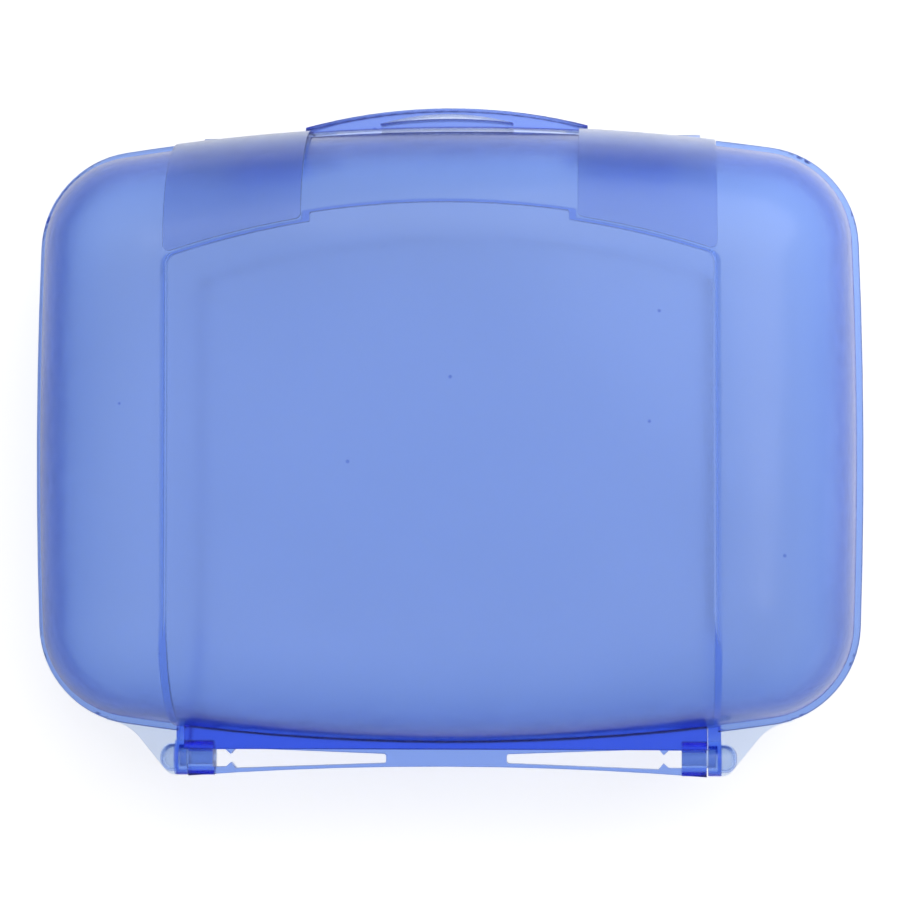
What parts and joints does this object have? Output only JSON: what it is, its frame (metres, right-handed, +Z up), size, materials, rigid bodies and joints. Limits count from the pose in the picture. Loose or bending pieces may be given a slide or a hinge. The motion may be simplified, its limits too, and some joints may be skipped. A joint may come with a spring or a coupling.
{
  "type": "hinged lunch box",
  "caption": "Translucent pillow-shaped plastic lunch box in two halves joined by a rear hinge, with a raised belt across the middle and a front clip that swings up over the lid.",
  "frame": {"origin": "middle of the flat foot under the base", "axes": "+X along the width, to the right of someone facing the clip; +Y from the clip to the rear hinge; +Z up"},
  "size_m": [0.18, 0.145, 0.0622],
  "materials": {
    "shell": "translucent moulded, soft sheen",
    "clip": "translucent moulded, soft sheen",
    "pin": "translucent moulded"
  },
  "bodies": {
    "base": {"base_shell": "shell"},
    "lid": {"lid_shell": "shell", "hinge_pin_left": "pin", "hinge_pin_right": "pin"},
    "clip": {"front_clip": "clip", "clip_pin_left": "pin", "clip_pin_right": "pin"}
  },
  "joints": [
    {"name": "lid_hinge", "type": "hinge", "parent": "base", "child": "lid", "pos_m": [0, 0.0698, 0.0311], "axis": [-1, 0, 0], "range_deg": [0, 180]},
    {"name": "clip_hinge", "type": "hinge", "parent": "base", "child": "clip", "pos_m": [0, -0.0655, 0.015], "axis": [1, 0, 0], "range_deg": [0, 120]}
  ]
}
